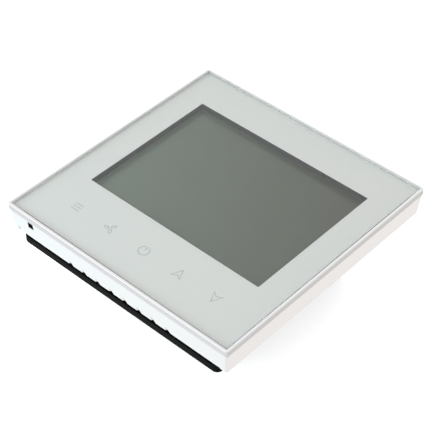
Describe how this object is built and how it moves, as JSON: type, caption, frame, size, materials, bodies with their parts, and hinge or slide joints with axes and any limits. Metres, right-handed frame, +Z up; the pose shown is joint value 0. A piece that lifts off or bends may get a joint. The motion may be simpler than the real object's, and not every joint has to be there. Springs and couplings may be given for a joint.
{
  "type": "wall thermostat",
  "caption": "Square flush-mounted room thermostat with a touch glass front, large display, silver rim, white cover, black wall base and an in-wall box with screw terminals.",
  "frame": {"origin": "midway between the two wall-box screws, in the plane of the wall (rear face of the base plate)", "axes": "+X to the right seen from the front, +Z up, -Y out of the wall into the room"},
  "size_m": [0.086, 0.0354, 0.086],
  "materials": {
    "front_glass": "clear polished glass with ground edges",
    "mask_print": "pale grey-green print on the back of the glass",
    "silver_bezel": "bright silver plating, slightly soft reflections",
    "white_housing": "fine satin moulded white",
    "black_foam": "matt closed-cell foam",
    "polariser": "grey-green film, smooth",
    "display_glass": "thin clear glass, grey-green",
    "acrylic": "clear acrylic with fine dots on the back",
    "white_sheet": "smooth white film",
    "lamp_white": "white body with a pale yellow lens",
    "white_holder": "moulded white plastic",
    "silicone": "grey silicone with black layers",
    "green_board": "green solder mask with tracks and pads",
    "steel_screw": "zinc plated",
    "conductive_rubber": "black conductive rubber",
    "chip_black": "moulded black epoxy",
    "black_moulding": "black moulded plastic",
    "cell_steel": "nickel plated steel",
    "sensor_glass": "brown glassy bead",
    "tinned_wire": "tinned wire",
    "gold_pins": "gold plated pins",
    "black_base": "black plastic with a fine eroded texture",
    "relay_blue": "blue relay case",
    "ferrite": "dark ferrite",
    "yellow_tape": "yellow polyester tape",
    "capacitor_sleeve": "dark shrink sleeve with an aluminium top",
    "absorber_blue": "blue dipped coating",
    "fuse_glass": "glass tube with metal caps",
    "terminal_grey": "dark grey moulded plastic",
    "contact_brass": "brass strip",
    "clamp_steel": "zinc plated washer",
    "terminal_steel": "zinc plated screw"
  },
  "bodies": {
    "front_unit": {"glass_panel": "front_glass", "printed_mask": "mask_print", "bezel_frame": "silver_bezel", "front_cover": "white_housing", "window_gasket": "black_foam", "display_front_film": "polariser", "display_front_glass": "display_glass", "display_rear_glass": "display_glass", "display_rear_film": "polariser", "light_guide": "acrylic", "reflector_sheet": "white_sheet", "backlight_leds": "lamp_white", "display_holder": "white_holder", "contact_strip": "silicone", "display_board": "green_board", "board_screws": "steel_screw", "key_pads": "conductive_rubber", "controller_chip": "chip_black", "driver_chip": "chip_black", "buzzer": "black_moulding", "backup_cell": "cell_steel", "clock_crystal": "cell_steel", "sensor_bead": "sensor_glass", "sensor_leads": "tinned_wire", "plug_body": "black_moulding", "plug_pins": "gold_pins"},
    "rear_unit": {"wall_base": "black_base", "rear_cover": "black_base", "lid_screws": "steel_screw", "power_board": "green_board", "power_board_screws": "steel_screw", "relays": "relay_blue", "regulator_chip": "chip_black", "transformer_core": "ferrite", "transformer_winding": "yellow_tape", "capacitors": "capacitor_sleeve", "surge_absorber": "absorber_blue", "fuse": "fuse_glass", "socket_body": "black_moulding", "terminal_block": "terminal_grey", "contact_plates": "contact_brass"},
    "clamp_1": {"terminal_clamp_1": "clamp_steel"},
    "screw_1": {"terminal_screw_1": "terminal_steel"},
    "clamp_2": {"terminal_clamp_2": "clamp_steel"},
    "screw_2": {"terminal_screw_2": "terminal_steel"},
    "clamp_3": {"terminal_clamp_3": "clamp_steel"},
    "screw_3": {"terminal_screw_3": "terminal_steel"},
    "clamp_4": {"terminal_clamp_4": "clamp_steel"},
    "screw_4": {"terminal_screw_4": "terminal_steel"},
    "clamp_5": {"terminal_clamp_5": "clamp_steel"},
    "screw_5": {"terminal_screw_5": "terminal_steel"},
    "clamp_6": {"terminal_clamp_6": "clamp_steel"},
    "screw_6": {"terminal_screw_6": "terminal_steel"}
  },
  "joints": [
    {"name": "front_unit_pull", "type": "slide", "parent": "rear_unit", "child": "front_unit", "axis": [0, -1, 0], "range_m": [0, 0.03]},
    {"name": "clamp_1_lift", "type": "slide", "parent": "rear_unit", "child": "clamp_1", "axis": [0, 1, 0], "range_m": [0, 0.002]},
    {"name": "screw_1_turn", "type": "hinge", "parent": "clamp_1", "child": "screw_1", "pos_m": [-0.019, 0.0179, -0.0216], "axis": [0, 1, 0], "range_deg": [0, 1440]},
    {"name": "clamp_2_lift", "type": "slide", "parent": "rear_unit", "child": "clamp_2", "axis": [0, 1, 0], "range_m": [0, 0.002]},
    {"name": "screw_2_turn", "type": "hinge", "parent": "clamp_2", "child": "screw_2", "pos_m": [-0.0114, 0.0179, -0.0216], "axis": [0, 1, 0], "range_deg": [0, 1440]},
    {"name": "clamp_3_lift", "type": "slide", "parent": "rear_unit", "child": "clamp_3", "axis": [0, 1, 0], "range_m": [0, 0.002]},
    {"name": "screw_3_turn", "type": "hinge", "parent": "clamp_3", "child": "screw_3", "pos_m": [-0.0038, 0.0179, -0.0216], "axis": [0, 1, 0], "range_deg": [0, 1440]},
    {"name": "clamp_4_lift", "type": "slide", "parent": "rear_unit", "child": "clamp_4", "axis": [0, 1, 0], "range_m": [0, 0.002]},
    {"name": "screw_4_turn", "type": "hinge", "parent": "clamp_4", "child": "screw_4", "pos_m": [0.0038, 0.0179, -0.0216], "axis": [0, 1, 0], "range_deg": [0, 1440]},
    {"name": "clamp_5_lift", "type": "slide", "parent": "rear_unit", "child": "clamp_5", "axis": [0, 1, 0], "range_m": [0, 0.002]},
    {"name": "screw_5_turn", "type": "hinge", "parent": "clamp_5", "child": "screw_5", "pos_m": [0.0114, 0.0179, -0.0216], "axis": [0, 1, 0], "range_deg": [0, 1440]},
    {"name": "clamp_6_lift", "type": "slide", "parent": "rear_unit", "child": "clamp_6", "axis": [0, 1, 0], "range_m": [0, 0.002]},
    {"name": "screw_6_turn", "type": "hinge", "parent": "clamp_6", "child": "screw_6", "pos_m": [0.019, 0.0179, -0.0216], "axis": [0, 1, 0], "range_deg": [0, 1440]}
  ],
  "couplings": [
    {"joint": "screw_1_turn", "follows": "clamp_1_lift", "rad_per_m": 12566},
    {"joint": "screw_2_turn", "follows": "clamp_2_lift", "rad_per_m": 12566},
    {"joint": "screw_3_turn", "follows": "clamp_3_lift", "rad_per_m": 12566},
    {"joint": "screw_4_turn", "follows": "clamp_4_lift", "rad_per_m": 12566},
    {"joint": "screw_5_turn", "follows": "clamp_5_lift", "rad_per_m": 12566},
    {"joint": "screw_6_turn", "follows": "clamp_6_lift", "rad_per_m": 12566}
  ]
}
